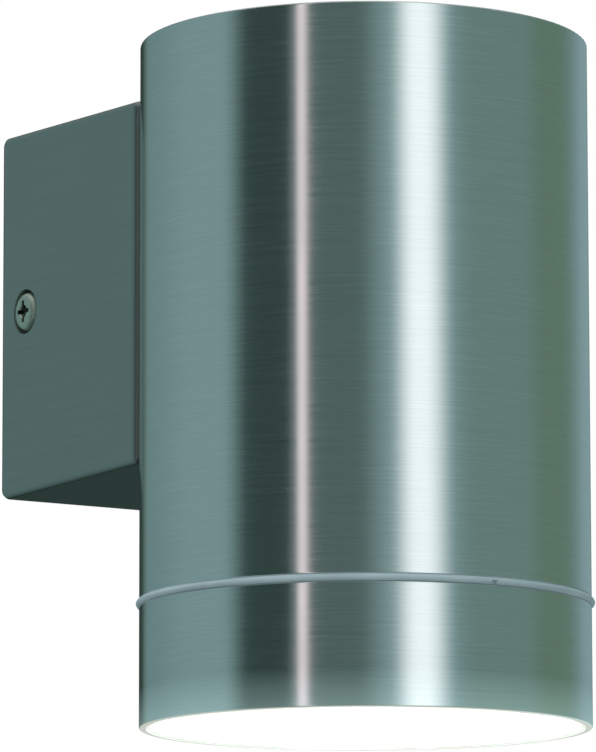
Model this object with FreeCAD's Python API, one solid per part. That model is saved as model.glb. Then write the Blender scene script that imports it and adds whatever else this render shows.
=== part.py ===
"""Tube wall light: a brushed steel down-light tube carried off the wall by a small steel box.

Each piece is its own solid, written to parts/NAME.step, in millimetres. The origin is the middle of the
wall bracket's back face, on the wall. +Y points into the wall, +Z up, and +X to the right of someone
who faces the wall. The tube and all that turns with the lamp share one upright axis in front of the box.
"""

import FreeCAD
import Part

import math
import os

from FreeCAD import Vector

# ---------------------------------------------------------------- lamp tube and its screw-off bezel
tube_radius = 32.5
tube_wall = 1.0
body_length = 81.0  # the tube above the seam
tube_rise = 3.85  # the tube's top above the box's top
bead_height = 1.0  # the seal between the tube and the bezel
bezel_length = 17.5
rim_round = 0.25
cap_thickness = 1.0
cap_skirt = 6.0
cap_recess = 0.4  # the cap's top below the tube's rim
cap_round = 1.2

# ---------------------------------------------------------------- threaded ring, collar, lens, seals
insert_wall = 1.55
insert_length = 9.0
thread_depth = 0.5
thread_pitch = 2.0
collar_neck_wall = 1.6
collar_foot_wall = 2.6
collar_engagement = 8.0  # the neck inside the threaded ring
lens_recess = 0.2
lens_thickness = 4.0
lens_edge_round = 0.5
lens_seal_wall = 0.6
lens_seal_ledge = 1.0  # the seal's step behind the glass, up and down
lens_ledge_width = 2.2  # the same step, inwards

# ---------------------------------------------------------------- wall box
box_width = 37.0
box_height = 54.5
box_depth = 40.0  # wall to front face
box_wall = 1.0
box_bend = 1.2
box_draft = 0.8  # the box's top and bottom each spread this much from front to wall
gasket_thickness = 0.6
gasket_inset = 0.2
gasket_width = 1.7

# ---------------------------------------------------------------- saddle pad between box and tube
saddle_thickness = 0.6  # on the centre line, where it is thinnest
saddle_width = 26.0
saddle_margin = 1.5  # the box's front edge to the pad's end

# ---------------------------------------------------------------- wall bracket
bracket_thickness = 1.5
bracket_arm_width = 14.0
bracket_arm_margin = 2.0  # the box's inside to the arm's end
ear_height = 14.0
ear_length = 11.5
ear_gap = 0.1  # the dimple's back to the ear
thread_collar_radius = 2.6
fixing_spacing = 36.0
fixing_slot_width = 4.5
fixing_slot_length = 8.0
entry_radius = 4.2  # the supply cable's way through the grommet
grommet_wall = 1.6
grommet_flange = 1.8
grommet_flange_thickness = 1.5
grommet_length = 5.5

# ---------------------------------------------------------------- side screws, in pressed dimples
side_screw_from_wall = 7.1
side_screw_thread = 1.5
side_screw_head = 2.9
side_screw_head_height = 1.7
side_screw_length = 6.5
dimple_radius = 3.45
dimple_taper = 0.3
dimple_depth = 1.3
dimple_wall = 0.8

# ---------------------------------------------------------------- screws that join tube and box
joint_screw_thread = 2.0
joint_screw_head = 4.0
joint_screw_head_height = 2.4
joint_screw_length = 10.0
upper_screw_rise = 5.8  # above the lampholder's shelf
lower_screw_rise = 5.7  # above the box's floor
nut_across_flats = 7.0
nut_height = 3.2
washer_radius = 3.7
washer_thickness = 0.9

# ---------------------------------------------------------------- wire bush between tube and box
bush_rise = 10.6  # above the upper joining screw
bush_bore = 3.5
bush_wall = 1.2
bush_flange = 1.2
bush_flange_thickness = 1.2

# ---------------------------------------------------------------- terminal block on its strap
strap_width = 12.0
strap_thickness = 1.0
strap_raise = 2.5
strap_foot = 4.5  # from each joining screw to the strap's end
way_pitch = 8.0
way_count = 3
block_length = 14.6
block_web_height = 8.0
block_height = 13.0
chimney_radius = 2.9
wire_bore = 2.4
wire_bore_height = 4.6
barrel_wall = 0.8
barrel_shortfall = 0.8  # each end of a brass barrel, inside the block's face
clamp_screw_radius = 1.25
clamp_screw_length = 5.0
clamp_screw_inset = 3.9  # a clamp screw to the block's end
block_screw_thread = 1.2
block_screw_head = 2.1
block_screw_head_height = 1.3
block_screw_length = 9.6

# ---------------------------------------------------------------- lampholder and its bracket
holder_length = 30.0
holder_width = 17.0
holder_face = 3.5  # the plate that the pins' necks pass through
holder_depth = 14.0
holder_lid = 2.0
holder_bracket_width = 30.0
holder_bracket_thickness = 1.2
holder_bracket_reach = 10.0  # the shelf in front of the lamp's axis
holder_bracket_margin = 0.3  # the bush's flange to the bracket's top
holder_bracket_bend = 1.0
shelf_corner = 5.0
holder_screw_spacing = 22.0
holder_screw_thread = 1.5
holder_screw_head = 2.8
holder_screw_head_height = 1.6
holder_screw_length = 8.0
contact_thickness = 0.5
contact_width = 6.4
contact_gap = 0.3
lead_hole = 2.0
earth_screw_x = 9.0
earth_screw_margin = 1.5  # the head to the bracket's bend
earth_screw_thread = 1.75
earth_screw_head = 3.5
earth_screw_head_height = 2.0
earth_screw_length = 5.5
lug_radius = 3.4
lug_thickness = 0.8
lug_barrel = 6.0
lug_barrel_wall = 0.5

# ---------------------------------------------------------------- twist-and-lock lamp
lamp_gap = 2.5  # the bezel's glass to the lamp's rim
lamp_radius = 25.0
lamp_rim = 2.6
lamp_flare = 30.0  # the rim to the reflector's neck
lamp_height = 46.0  # the rim to the base's end
lamp_glass_wall = 1.3
lamp_neck_radius = 10.5
lamp_base_length = 20.0
lamp_base_width = 13.0
lamp_cover_thickness = 1.6
lamp_cover_recess = 0.4
capsule_radius = 4.0
capsule_length = 15.0
pin_circle = 5.0
pin_neck_radius = 1.5
pin_neck_length = 4.0
pin_head_radius = 2.5
pin_head_length = 3.0
pin_clearance = 0.25
twist_angle = 30.0  # from locked to where the pins can come out

# ---------------------------------------------------------------- leads
lead_radius = 1.0
lead_spread = 1.45  # each lead's middle to the bush's middle
lead_bend = 6.0
lead_end_gap = 0.1  # a lampholder contact to its lead's end
lead_entry = 3.0  # how far a lead reaches into its brass barrel
lead_drop = 4.0  # straight down above the terminal block, outer leads

# ---------------------------------------------------------------- fits
press_gap = 0.05  # between round faces that are fixed to each other
slide_gap = 0.3  # between pieces that pass each other
seal_gap = 0.03  # above and below the bezel's seal
screw_gap = 0.15  # a screw in a plain hole
thread_gap = 0.05  # a screw in its thread
turning_gap = 0.08  # the collar's neck in the threaded ring

# ---------------------------------------------------------------- places worked out from the sizes
axis_y = -(box_depth + saddle_thickness + tube_radius)
tube_bore = tube_radius - tube_wall
tube_top = box_height / 2 + tube_rise
tube_bottom = tube_top - body_length
bezel_top = tube_bottom - bead_height
bezel_bottom = bezel_top - bezel_length
lens_bottom = bezel_bottom + lens_recess
lens_top = lens_bottom + lens_thickness
lens_radius = tube_bore - 2 * press_gap - lens_seal_wall
insert_bore = tube_bore - press_gap - insert_wall
neck_radius = insert_bore - turning_gap
collar_top = bezel_top + bead_height + collar_engagement
collar_bottom = lens_top + lens_seal_ledge

lamp_face = lens_top + lamp_gap
lamp_end = lamp_face + lamp_height
pin_head_bottom = lamp_end + pin_neck_length
pin_head_top = pin_head_bottom + pin_head_length
holder_bottom = lamp_end + slide_gap
holder_pocket = holder_bottom + holder_face
contact_bottom = pin_head_top + contact_gap
holder_top = holder_bottom + holder_depth
lid_top = holder_top + holder_lid
shelf_top = lid_top + holder_bracket_thickness

box_inside_front = -(box_depth - box_wall)
box_inside_width = box_width - 2 * box_wall
box_inside_height = box_height - 2 * box_wall
upper_screw_z = shelf_top + upper_screw_rise
lower_screw_z = lower_screw_rise - box_inside_height / 2
bush_z = upper_screw_z + bush_rise
ear_outside = box_width / 2 - dimple_depth - box_wall - ear_gap
leg_outside = tube_bore - press_gap
leg_inside = leg_outside - holder_bracket_thickness
bush_radius = bush_bore + bush_wall
holder_bracket_top = bush_z + bush_radius + bush_flange + holder_bracket_margin
earth_screw_reach = leg_inside - holder_bracket_bend - earth_screw_margin - earth_screw_head
earth_screw_back = math.sqrt(earth_screw_reach**2 - earth_screw_x**2)
strap_top = box_inside_front + strap_raise + strap_thickness
block_middle_z = (upper_screw_z + lower_screw_z) / 2
wire_y = strap_top + wire_bore_height
joint_head_y = axis_y + math.sqrt(leg_inside**2 - joint_screw_head**2) - joint_screw_head_height

X = Vector(1, 0, 0)
Y = Vector(0, 1, 0)
Z = Vector(0, 0, 1)


# ---------------------------------------------------------------- ways of making a solid
def block(x0, x1, y0, y1, z0, z1):
    """A box between two corners."""
    return Part.makeBox(x1 - x0, y1 - y0, z1 - z0, Vector(x0, y0, z0))


def rod(radius, start, end):
    """A round bar from one point to another."""
    along = end - start
    return Part.makeCylinder(radius, along.Length, start, along)


def disc(radius, z0, z1, x=0.0, y=axis_y):
    """An upright round bar, on the lamp's axis unless a place is given."""
    return Part.makeCylinder(radius, z1 - z0, Vector(x, y, z0))


def turned(points):
    """A solid turned about the lamp's axis from an outline of (radius, height) points."""
    outline = [Vector(r, axis_y, z) for r, z in points]
    face = Part.Face(Part.makePolygon(outline + outline[:1]))
    return face.revolve(Vector(0, axis_y, 0), Z, 360)


def ring(outer, inner, z0, z1):
    """A plain ring on the lamp's axis."""
    return disc(outer, z0, z1).cut(disc(inner, z0 - 1, z1 + 1))


def edges_where(shape, test):
    """The edges whose middle and direction satisfy a test."""
    found = []
    for edge in shape.Edges:
        middle = edge.valueAt((edge.FirstParameter + edge.LastParameter) / 2)
        along = edge.tangentAt((edge.FirstParameter + edge.LastParameter) / 2)
        if test(middle, along):
            found.append(edge)
    return found


def rims_at(shape, radius, z):
    """The round edges on the lamp's axis with this radius and height."""

    def on_rim(middle, along):
        reach = math.hypot(middle.x, middle.y - axis_y)
        return abs(reach - radius) < 1e-4 and abs(middle.z - z) < 1e-4 and abs(along.z) < 1e-4

    return edges_where(shape, on_rim)


def stadium(length, width, z0, z1, y=axis_y):
    """An upright bar with straight sides and round ends, long in X."""
    reach = (length - width) / 2
    half = width / 2
    corners = [Vector(-reach, y - half, z0), Vector(reach, y - half, z0)]
    corners += [Vector(reach, y + half, z0), Vector(-reach, y + half, z0)]
    right_end = Part.Arc(corners[1], Vector(reach + half, y, z0), corners[2])
    left_end = Part.Arc(corners[3], Vector(-reach - half, y, z0), corners[0])
    sides = [Part.LineSegment(corners[0], corners[1]), Part.LineSegment(corners[2], corners[3])]
    outline = [sides[0].toShape(), right_end.toShape(), sides[1].toShape(), left_end.toShape()]
    return Part.Face(Part.Wire(outline)).extrude(Z * (z1 - z0))


def on_circle(radius, angle, z=0.0):
    """A point round the lamp's axis. Angles run in degrees from +X towards +Y."""
    turn = math.radians(angle)
    return Vector(radius * math.cos(turn), axis_y + radius * math.sin(turn), z)


def arc_slot(half_width, start, end, z0, z1):
    """The space that a pin sweeps on the pin circle between two angles."""
    inner = pin_circle - half_width
    outer = pin_circle + half_width
    middle = (start + end) / 2
    past_end = on_circle(pin_circle, end, z0) + tangent(end) * half_width
    past_start = on_circle(pin_circle, start, z0) - tangent(start) * half_width
    outline = [
        Part.Arc(on_circle(outer, start, z0), on_circle(outer, middle, z0), on_circle(outer, end, z0)),
        Part.Arc(on_circle(outer, end, z0), past_end, on_circle(inner, end, z0)),
        Part.Arc(on_circle(inner, end, z0), on_circle(inner, middle, z0), on_circle(inner, start, z0)),
        Part.Arc(on_circle(inner, start, z0), past_start, on_circle(outer, start, z0)),
    ]
    face = Part.Face(Part.Wire([edge.toShape() for edge in outline]))
    return face.extrude(Z * (z1 - z0))


def tangent(angle):
    """The direction in which a point at this angle travels as the angle grows."""
    turn = math.radians(angle)
    return Vector(-math.sin(turn), math.cos(turn), 0)


def cross_recess(size, depth):
    """The cutter for a cross-head drive, its mouth at height 0 and its point below."""
    arm = size * 0.2
    bars = block(-size / 2, size / 2, -arm / 2, arm / 2, -depth * 0.6, 1)
    bars = bars.fuse(block(-arm / 2, arm / 2, -size / 2, size / 2, -depth * 0.6, 1))
    point = Part.makeCone(arm * 0.3, size * 0.32, depth, Vector(0, 0, -depth))
    return bars.fuse(point)


def screw(head, head_height, thread, length, seat, direction):
    """A pan-head screw whose head rests at a point and whose shank runs in a direction."""
    top = Part.makeCylinder(head, head_height, Vector(0, 0, 0))
    dome = edges_where(top, lambda m, a: m.z > head_height - 1e-4 and abs(a.z) < 1e-4)
    top = top.makeFillet(head_height * 0.6, dome)
    top = top.cut(cross_recess(head * 1.15, head_height * 0.75).translate(Z * head_height))
    shank = Part.makeCylinder(thread, length, Vector(0, 0, -length))
    tip = edges_where(shank, lambda m, a: m.z < -length + 1e-4 and abs(a.z) < 1e-4)
    shank = shank.makeChamfer(thread * 0.25, tip)
    whole = top.fuse(shank).removeSplitter()
    whole.Placement = FreeCAD.Placement(seat, FreeCAD.Rotation(Z * -1, direction))
    return whole


def mirrored(shape):
    """The same solid on the other side of the light."""
    return shape.mirror(Vector(0, 0, 0), X)


def group(solids):
    """Several separate solids in one node."""
    return Part.makeCompound(solids)


# ---------------------------------------------------------------- on the wall
def slot_cutter(z):
    """An upright slot through the bracket for a wall screw."""
    half = fixing_slot_width / 2
    reach = fixing_slot_length / 2 - half
    front, back = -bracket_thickness - 1, 1.0
    cutter = block(-half, half, front, back, z - reach, z + reach)
    for end in (z - reach, z + reach):
        cutter = cutter.fuse(rod(half, Vector(0, front, end), Vector(0, back, end)))
    return cutter


def wall_bracket():
    """A cross of steel plate with two bent ears that take the side screws."""
    arm_reach = box_inside_height / 2 - bracket_arm_margin
    half_arm = bracket_arm_width / 2
    half_ear = ear_height / 2
    arm = block(-half_arm, half_arm, -bracket_thickness, 0, -arm_reach, arm_reach)
    arm = arm.makeFillet(bracket_thickness * 1.5, edges_where(arm, lambda m, a: abs(a.y) > 0.9))
    channel = block(-ear_outside, ear_outside, -ear_length, 0, -half_ear, half_ear)
    bends = edges_where(channel, lambda m, a: abs(a.z) > 0.9 and m.y > -1e-4)
    channel = channel.makeFillet(bracket_thickness * 1.2, bends)
    corners = edges_where(channel, lambda m, a: abs(a.x) > 0.9 and m.y < -ear_length + 1e-4)
    channel = channel.makeFillet(bracket_thickness * 1.5, corners)
    inside = ear_outside - bracket_thickness
    hollow = block(-inside, inside, -ear_length - 1, -bracket_thickness, -half_ear - 1, half_ear + 1)
    plate = channel.cut(hollow).fuse(arm)
    for side in (-1, 1):
        collar_start = Vector(side * inside, -side_screw_from_wall, 0)
        collar_end = Vector(side * (inside - bracket_thickness), -side_screw_from_wall, 0)
        plate = plate.fuse(rod(thread_collar_radius, collar_start, collar_end))
    hole_end = Vector(ear_outside + 1, -side_screw_from_wall, 0)
    hole_start = Vector(-ear_outside - 1, -side_screw_from_wall, 0)
    plate = plate.cut(rod(side_screw_thread + thread_gap, hole_start, hole_end))
    grommet_seat = entry_radius + grommet_wall + press_gap
    plate = plate.cut(rod(grommet_seat, Vector(0, -bracket_thickness - 1, 0), Vector(0, 1, 0)))
    for z in (-fixing_spacing / 2, fixing_spacing / 2):
        plate = plate.cut(slot_cutter(z))
    return plate.removeSplitter()


def cable_grommet():
    """The rubber bush in the bracket's middle, where the supply cable comes out of the wall."""
    body = entry_radius + grommet_wall
    flange_start = -bracket_thickness
    flange_end = flange_start - grommet_flange_thickness
    whole = rod(body, Vector(0, 0, 0), Vector(0, -grommet_length, 0))
    tip = edges_where(whole, lambda m, a: m.y < -grommet_length + 1e-4 and abs(a.y) < 1e-4)
    whole = whole.makeFillet(grommet_wall * 0.4, tip)
    whole = whole.fuse(rod(body + grommet_flange, Vector(0, flange_start, 0), Vector(0, flange_end, 0)))
    return whole.cut(rod(entry_radius, Vector(0, 1, 0), Vector(0, -grommet_length - 1, 0)))


def wall_gasket():
    """The thin foam frame between the box's rim and the wall."""
    half_width = box_width / 2 - gasket_inset
    half_height = box_height / 2 + box_draft - gasket_inset
    outer = block(-half_width, half_width, -gasket_thickness, 0, -half_height, half_height)
    outer = outer.makeFillet(box_bend, edges_where(outer, lambda m, a: abs(a.y) > 0.9))
    across = half_width - gasket_width
    up = half_height - gasket_width
    return outer.cut(block(-across, across, -gasket_thickness - 1, 1, -up, up))


# ---------------------------------------------------------------- the wall box
def back_box():
    """The five-sided box of bent sheet, open to the wall, with a dimple for each side screw."""

    def sides_and_front(middle, along, front):
        return abs(along.y) > 0.9 or middle.y < front + 1e-4

    outer = drafted_block(box_width / 2, box_height / 2, -box_depth, -gasket_thickness)
    bends = edges_where(outer, lambda m, a: sides_and_front(m, a, -box_depth))
    shell = outer.makeFillet(box_bend, bends)
    inner = drafted_block(box_inside_width / 2, box_inside_height / 2, box_inside_front, 1)
    bends = edges_where(inner, lambda m, a: sides_and_front(m, a, box_inside_front))
    inner = inner.makeFillet(max(box_bend - box_wall, 0.1), bends)
    shell = shell.cut(inner)
    for side in (-1, 1):
        shell = shell.fuse(dimple_back(side)).cut(dimple_cutter(side))
    for z in (upper_screw_z, lower_screw_z):
        shell = shell.cut(front_hole(joint_screw_thread + screw_gap, z))
    shell = shell.cut(front_hole(bush_radius + press_gap, bush_z))
    return shell.removeSplitter()


def drafted_block(across, up, front, wall):
    """A block whose top and bottom spread evenly from the box's front towards the wall."""
    slope = box_draft / (box_depth - gasket_thickness)
    ends = [(y, up + slope * (y + box_depth)) for y in (front, wall)]
    corners = [(y, -height) for y, height in ends] + [(y, height) for y, height in reversed(ends)]
    outline = Part.makePolygon([Vector(-across, y, z) for y, z in corners + corners[:1]])
    return Part.Face(outline).extrude(X * 2 * across)


def dimple_back(side):
    """The pressed-in metal behind a dimple."""
    start = Vector(side * (box_width / 2 - box_wall / 2), -side_screw_from_wall, 0)
    wide = dimple_radius + dimple_wall
    depth = dimple_depth + box_wall / 2
    return Part.makeCone(wide, wide - dimple_taper, depth, start, X * -side)


def dimple_cutter(side):
    """The hollow in which the screw's head sits, and the hole for its shank."""
    start = Vector(side * box_width / 2, -side_screw_from_wall, 0)
    hollow = Part.makeCone(dimple_radius, dimple_radius - dimple_taper, dimple_depth, start, X * -side)
    hole = rod(side_screw_thread + screw_gap, start, start - X * side * (dimple_depth + 2 * box_wall))
    return hollow.fuse(hole)


def front_hole(radius, z):
    """A cutter from the lamp's axis back through tube, pad and box front."""
    return rod(radius, Vector(0, axis_y, z), Vector(0, box_inside_front + strap_raise, z))


def side_screw():
    """The right-hand screw that holds the box on the bracket's ear."""
    seat = Vector(box_width / 2 - dimple_depth, -side_screw_from_wall, 0)
    return screw(side_screw_head, side_screw_head_height, side_screw_thread, side_screw_length, seat, X * -1)


def saddle_pad():
    """The moulded pad that fills the wedge between the flat box and the round tube."""
    half = saddle_width / 2
    up = box_height / 2 - saddle_margin
    reach = tube_radius - math.sqrt(tube_radius**2 - half**2) + saddle_thickness
    pad = block(-half, half, -box_depth - reach, -box_depth, -up, up)
    pad = pad.cut(disc(tube_radius + press_gap, -up - 1, up + 1))
    for z in (upper_screw_z, lower_screw_z):
        pad = pad.cut(front_hole(joint_screw_thread + screw_gap, z))
    return pad.cut(front_hole(bush_radius + press_gap, bush_z)).removeSplitter()


def wire_bush():
    """The flanged sleeve that carries the leads from the tube into the box."""
    flange = bush_radius + bush_flange
    tube_seat = axis_y + math.sqrt(leg_inside**2 - flange**2)
    box_seat = box_inside_front
    tube_end = tube_seat - bush_flange_thickness
    box_end = box_seat + bush_flange_thickness
    sleeve = rod(bush_radius, Vector(0, tube_end, bush_z), Vector(0, box_end, bush_z))
    sleeve = sleeve.fuse(rod(flange, Vector(0, tube_end, bush_z), Vector(0, tube_seat, bush_z)))
    sleeve = sleeve.fuse(rod(flange, Vector(0, box_seat, bush_z), Vector(0, box_end, bush_z)))
    bore = rod(bush_bore, Vector(0, tube_end - 1, bush_z), Vector(0, box_end + 1, bush_z))
    return sleeve.cut(bore).removeSplitter()


# ---------------------------------------------------------------- screws between tube and box
def joint_screw(z, seat_radius):
    """A screw from inside the tube, its head on a hollow round face of this radius."""
    seat = Vector(0, axis_y + math.sqrt(seat_radius**2 - joint_screw_head**2), z)
    return screw(joint_screw_head, joint_screw_head_height, joint_screw_thread, joint_screw_length, seat, Y)


def lock_washers():
    """The washers on the terminal strap's feet."""
    start = box_inside_front + strap_thickness
    washers = []
    for z in (upper_screw_z, lower_screw_z):
        solid = rod(washer_radius, Vector(0, start, z), Vector(0, start + washer_thickness, z))
        washers.append(solid.cut(front_hole(joint_screw_thread + screw_gap, z)))
    return group(washers)


def joint_nuts():
    """The hexagon nuts that clamp tube, pad, box and strap together."""
    start = box_inside_front + strap_thickness + washer_thickness
    corner = nut_across_flats / math.sqrt(3)
    nuts = []
    for z in (upper_screw_z, lower_screw_z):
        turns = [math.radians(30 + 60 * step) for step in range(6)]
        corners = [Vector(corner * math.cos(t), start, z + corner * math.sin(t)) for t in turns]
        face = Part.Face(Part.makePolygon(corners + corners[:1]))
        nut = face.extrude(Y * nut_height)
        low, high = Vector(0, start - 1, z), Vector(0, start + nut_height + 1, z)
        nuts.append(nut.cut(rod(joint_screw_thread + thread_gap, low, high)))
    return group(nuts)


# ---------------------------------------------------------------- terminal block in the box
def terminal_strap():
    """The joggled strap under the two nuts. Its raised middle carries the terminal block."""
    half = strap_width / 2
    low = box_inside_front
    high = low + strap_raise
    nut_reach = nut_across_flats / math.sqrt(3) + slide_gap
    rise_start = upper_screw_z - nut_reach
    rise_end = rise_start - strap_raise
    drop_start = lower_screw_z + nut_reach + strap_raise
    drop_end = lower_screw_z + nut_reach
    near = [(low, upper_screw_z + strap_foot), (low, rise_start), (high, rise_end)]
    near += [(high, drop_start), (low, drop_end), (low, lower_screw_z - strap_foot)]
    far = [(y + strap_thickness, z) for y, z in reversed(near)]
    outline = [Vector(-half, y, z) for y, z in near + far]
    strap = Part.Face(Part.makePolygon(outline + outline[:1])).extrude(X * strap_width)
    for z in (upper_screw_z, lower_screw_z):
        strap = strap.cut(front_hole(joint_screw_thread + screw_gap, z))
    return strap.cut(block_screw_shaft(block_screw_thread + thread_gap, low, strap_top + 1))


def ways():
    """The X place of each way of the terminal block."""
    return [(step - (way_count - 1) / 2) * way_pitch for step in range(way_count)]


def clamp_places():
    """The Z place of each row of clamp screws."""
    reach = block_length / 2 - clamp_screw_inset
    return [block_middle_z - reach, block_middle_z + reach]


def block_screw_shaft(radius, start_y, end_y):
    """A bar where the screw that holds the block down runs, between two ways."""
    x = way_pitch / 2
    return rod(radius, Vector(x, start_y, block_middle_z), Vector(x, end_y, block_middle_z))


def terminal_block():
    """The three-way moulding, its clamp screws towards the open back of the box."""
    half_width = way_pitch * way_count / 2
    half_length = block_length / 2
    low, high = block_middle_z - half_length, block_middle_z + half_length
    body = block(-half_width, half_width, strap_top, strap_top + block_web_height, low, high)
    body = body.makeFillet(0.6, edges_where(body, lambda m, a: m.y > strap_top + 1e-4 and abs(a.y) < 0.1))
    for x in ways():
        for z in clamp_places():
            start = Vector(x, strap_top + wire_bore_height, z)
            body = body.fuse(rod(chimney_radius, start, Vector(x, strap_top + block_height, z)))
    for x in ways():
        body = body.cut(rod(wire_bore, Vector(x, wire_y, low - 1), Vector(x, wire_y, high + 1)))
        for z in clamp_places():
            top = Vector(x, strap_top + block_height + 1, z)
            body = body.cut(rod(clamp_screw_radius + thread_gap, Vector(x, wire_y, z), top))
    hole_end = strap_top + block_height
    body = body.cut(block_screw_shaft(block_screw_thread + screw_gap, strap_top - 1, hole_end))
    return body.removeSplitter()


def terminal_barrels():
    """The brass barrels in which the wires are clamped."""
    reach = block_length / 2 - barrel_shortfall
    low, high = block_middle_z - reach, block_middle_z + reach
    outer = wire_bore - press_gap
    barrels = []
    for x in ways():
        barrel = rod(outer, Vector(x, wire_y, low), Vector(x, wire_y, high))
        barrel_bore = outer - barrel_wall
        barrel = barrel.cut(rod(barrel_bore, Vector(x, wire_y, low - 1), Vector(x, wire_y, high + 1)))
        for z in clamp_places():
            hole_end = Vector(x, wire_y + wire_bore + 1, z)
            barrel = barrel.cut(rod(clamp_screw_radius + thread_gap, Vector(x, wire_y, z), hole_end))
        barrels.append(barrel)
    return group(barrels)


def clamp_screws():
    """The slotted grub screws that press on the wires."""
    start = wire_y + lead_radius + press_gap
    end = start + clamp_screw_length
    slot = clamp_screw_radius * 0.3
    screws = []
    for x in ways():
        for z in clamp_places():
            solid = rod(clamp_screw_radius, Vector(x, start, z), Vector(x, end, z))
            screws.append(solid.cut(block(x - 2, x + 2, end - slot * 2, end + 1, z - slot, z + slot)))
    return group(screws)


def block_screw():
    """The small screw that holds the terminal block on its strap."""
    seat = Vector(way_pitch / 2, strap_top + block_web_height, block_middle_z)
    head = (block_screw_head, block_screw_head_height)
    return screw(*head, block_screw_thread, block_screw_length, seat, Y * -1)


# ---------------------------------------------------------------- the lamp tube
def body_tube():
    """The long brushed tube, drilled at the back for two screws and the wire bush."""
    tube = ring(tube_radius, tube_bore, tube_bottom, tube_top)
    rims = rims_at(tube, tube_radius, tube_top) + rims_at(tube, tube_radius, tube_bottom)
    tube = tube.makeFillet(rim_round, rims)
    for z in (upper_screw_z, lower_screw_z):
        tube = tube.cut(front_hole(joint_screw_thread + screw_gap, z))
    return tube.cut(front_hole(bush_radius + press_gap, bush_z)).removeSplitter()


def top_cap():
    """The pressed cap that closes the tube's top, its skirt down inside the tube."""
    outer = tube_bore - press_gap
    top = tube_top - cap_recess
    cup = disc(outer, top - cap_skirt, top)
    cup = cup.makeFillet(cap_round, rims_at(cup, outer, top))
    hollow = disc(outer - cap_thickness, top - cap_skirt - 1, top - cap_thickness)
    inner_round = max(cap_round - cap_thickness, 0.1)
    hollow = hollow.makeFillet(inner_round, rims_at(hollow, outer - cap_thickness, top - cap_thickness))
    return cup.cut(hollow).removeSplitter()


def threaded_ring():
    """The aluminium ring pressed into the tube's lower end, into which the bezel screws."""
    outer = tube_bore - press_gap
    top = tube_bottom + insert_length
    lead_in = thread_depth / 2
    outline = [(insert_bore + lead_in, tube_bottom), (outer, tube_bottom), (outer, top)]
    outline += [(insert_bore + lead_in, top), (insert_bore, top - lead_in)]
    outline += [(insert_bore, tube_bottom + lead_in)]
    return turned(outline)


# ---------------------------------------------------------------- the bezel
def bezel_sleeve():
    """The short brushed tube below the seam."""
    sleeve = ring(tube_radius, tube_bore, bezel_bottom, bezel_top)
    rims = rims_at(sleeve, tube_radius, bezel_top) + rims_at(sleeve, tube_radius, bezel_bottom)
    return sleeve.makeFillet(rim_round, rims)


def thread_grooves():
    """The neck's outline upwards from its foot, with the screw thread drawn as plain rings."""
    points = [(neck_radius, bezel_top)]
    low = bezel_top + bead_height + thread_depth
    while low + thread_pitch < collar_top:
        points += [(neck_radius, low), (neck_radius - thread_depth, low + thread_depth)]
        points += [(neck_radius, low + 2 * thread_depth)]
        low += thread_pitch
    return points


def bezel_collar():
    """The turned collar bonded into the sleeve. Its neck screws up into the tube's ring."""
    foot = tube_bore - press_gap
    foot_bore = foot - collar_foot_wall
    neck_bore = neck_radius - collar_neck_wall
    step = bezel_top - collar_neck_wall
    outline = [(foot_bore, collar_bottom), (foot, collar_bottom), (foot, bezel_top)] + thread_grooves()
    outline += [(neck_radius, collar_top - thread_depth), (neck_radius - thread_depth, collar_top)]
    outline += [(neck_bore, collar_top), (neck_bore, step), (foot_bore, step - (foot_bore - neck_bore))]
    return turned(outline)


def bezel_seal():
    """The silicone ring in the seam. Its round bead stands proud of the tube, with a nick in front."""
    low = bezel_top + seal_gap
    high = tube_bottom - seal_gap
    inner = neck_radius + slide_gap
    bead = (high - low) / 2
    corners = [Vector(inner, axis_y, low), Vector(tube_radius, axis_y, low)]
    corners += [Vector(tube_radius, axis_y, high), Vector(inner, axis_y, high)]
    nose = Vector(tube_radius + bead, axis_y, (low + high) / 2)
    outline = [Part.LineSegment(corners[0], corners[1]), Part.Arc(corners[1], nose, corners[2])]
    outline += [Part.LineSegment(corners[2], corners[3]), Part.LineSegment(corners[3], corners[0])]
    face = Part.Face(Part.Wire([edge.toShape() for edge in outline]))
    seal = face.revolve(Vector(0, axis_y, 0), Z, 360)
    front = axis_y - tube_radius
    nick = block(-bead, bead, front - 2 * bead, front + bead / 2, low - 1, low + bead * 1.2)
    return seal.cut(nick)


def lens_seal():
    """The L-shaped silicone ring round the glass and behind it."""
    outer = tube_bore - press_gap
    inner = outer - lens_seal_wall
    ledge = inner - lens_ledge_width
    outline = [(inner, lens_bottom), (outer, lens_bottom), (outer, collar_bottom)]
    outline += [(ledge, collar_bottom), (ledge, lens_top), (inner, lens_top)]
    return turned(outline)


def lens_glass():
    """The thick toughened glass that closes the light, almost level with the rim."""
    glass = disc(lens_radius, lens_bottom, lens_top)
    return glass.makeFillet(lens_edge_round, rims_at(glass, lens_radius, lens_bottom))


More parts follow.
